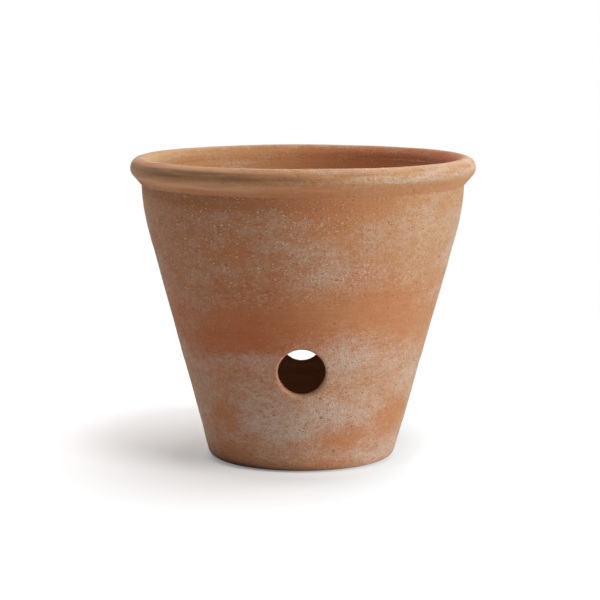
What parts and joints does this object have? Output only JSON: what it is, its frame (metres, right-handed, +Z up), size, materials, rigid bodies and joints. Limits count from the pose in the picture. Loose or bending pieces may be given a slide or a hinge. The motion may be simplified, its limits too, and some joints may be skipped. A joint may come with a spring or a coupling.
{
  "type": "plant pot",
  "caption": "Tapered fired-clay plant pot with a rolled rim, a drain hole in its floor and opposite side holes low in its wall.",
  "frame": {"origin": "centre of the pot's circular foot, on the ground plane it stands on", "axes": "+Z up along the pot's axis; the side holes run along Y, and the front one faces -Y"},
  "size_m": [0.2, 0.2, 0.176],
  "materials": {
    "terracotta": "matt, unglazed"
  },
  "bodies": {
    "root": {"wall": "terracotta", "floor": "terracotta", "rim": "terracotta"}
  },
  "joints": []
}
